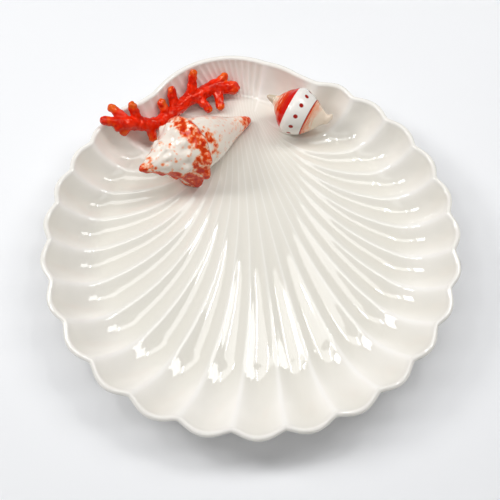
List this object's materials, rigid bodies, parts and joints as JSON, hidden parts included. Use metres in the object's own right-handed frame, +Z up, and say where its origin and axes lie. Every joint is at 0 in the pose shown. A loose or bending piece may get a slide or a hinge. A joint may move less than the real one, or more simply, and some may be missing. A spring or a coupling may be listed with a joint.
{
  "type": "scallop shell plate",
  "caption": "Scallop-shell ceramic serving plate with radiating flutes and a scalloped rim; a coral sprig, a whelk and a banded shell are bonded beside its hinge.",
  "frame": {"origin": "under the middle of the whole piece, on the plane the foot ring rests on", "axes": "+Z up, +Y from the middle of the dish to the hinge bulge, +X to the right seen from the front"},
  "size_m": [0.3012, 0.3138, 0.0591],
  "materials": {
    "dish_glaze": "glossy ivory glaze",
    "whelk_glaze": "glossy white glaze splashed with red-orange",
    "banded_glaze": "glossy orange glaze with a white dotted band",
    "coral_glaze": "glossy red-orange glaze",
    "bed_slip": "matt fired slip"
  },
  "bodies": {
    "root": {"dish_body": "dish_glaze", "whelk_shell": "whelk_glaze", "banded_shell": "banded_glaze", "coral_branch": "coral_glaze", "whelk_bed": "bed_slip", "banded_shell_bed": "bed_slip", "coral_rim_bed": "bed_slip", "coral_wall_bed": "bed_slip", "coral_hinge_bed": "bed_slip"}
  },
  "joints": []
}
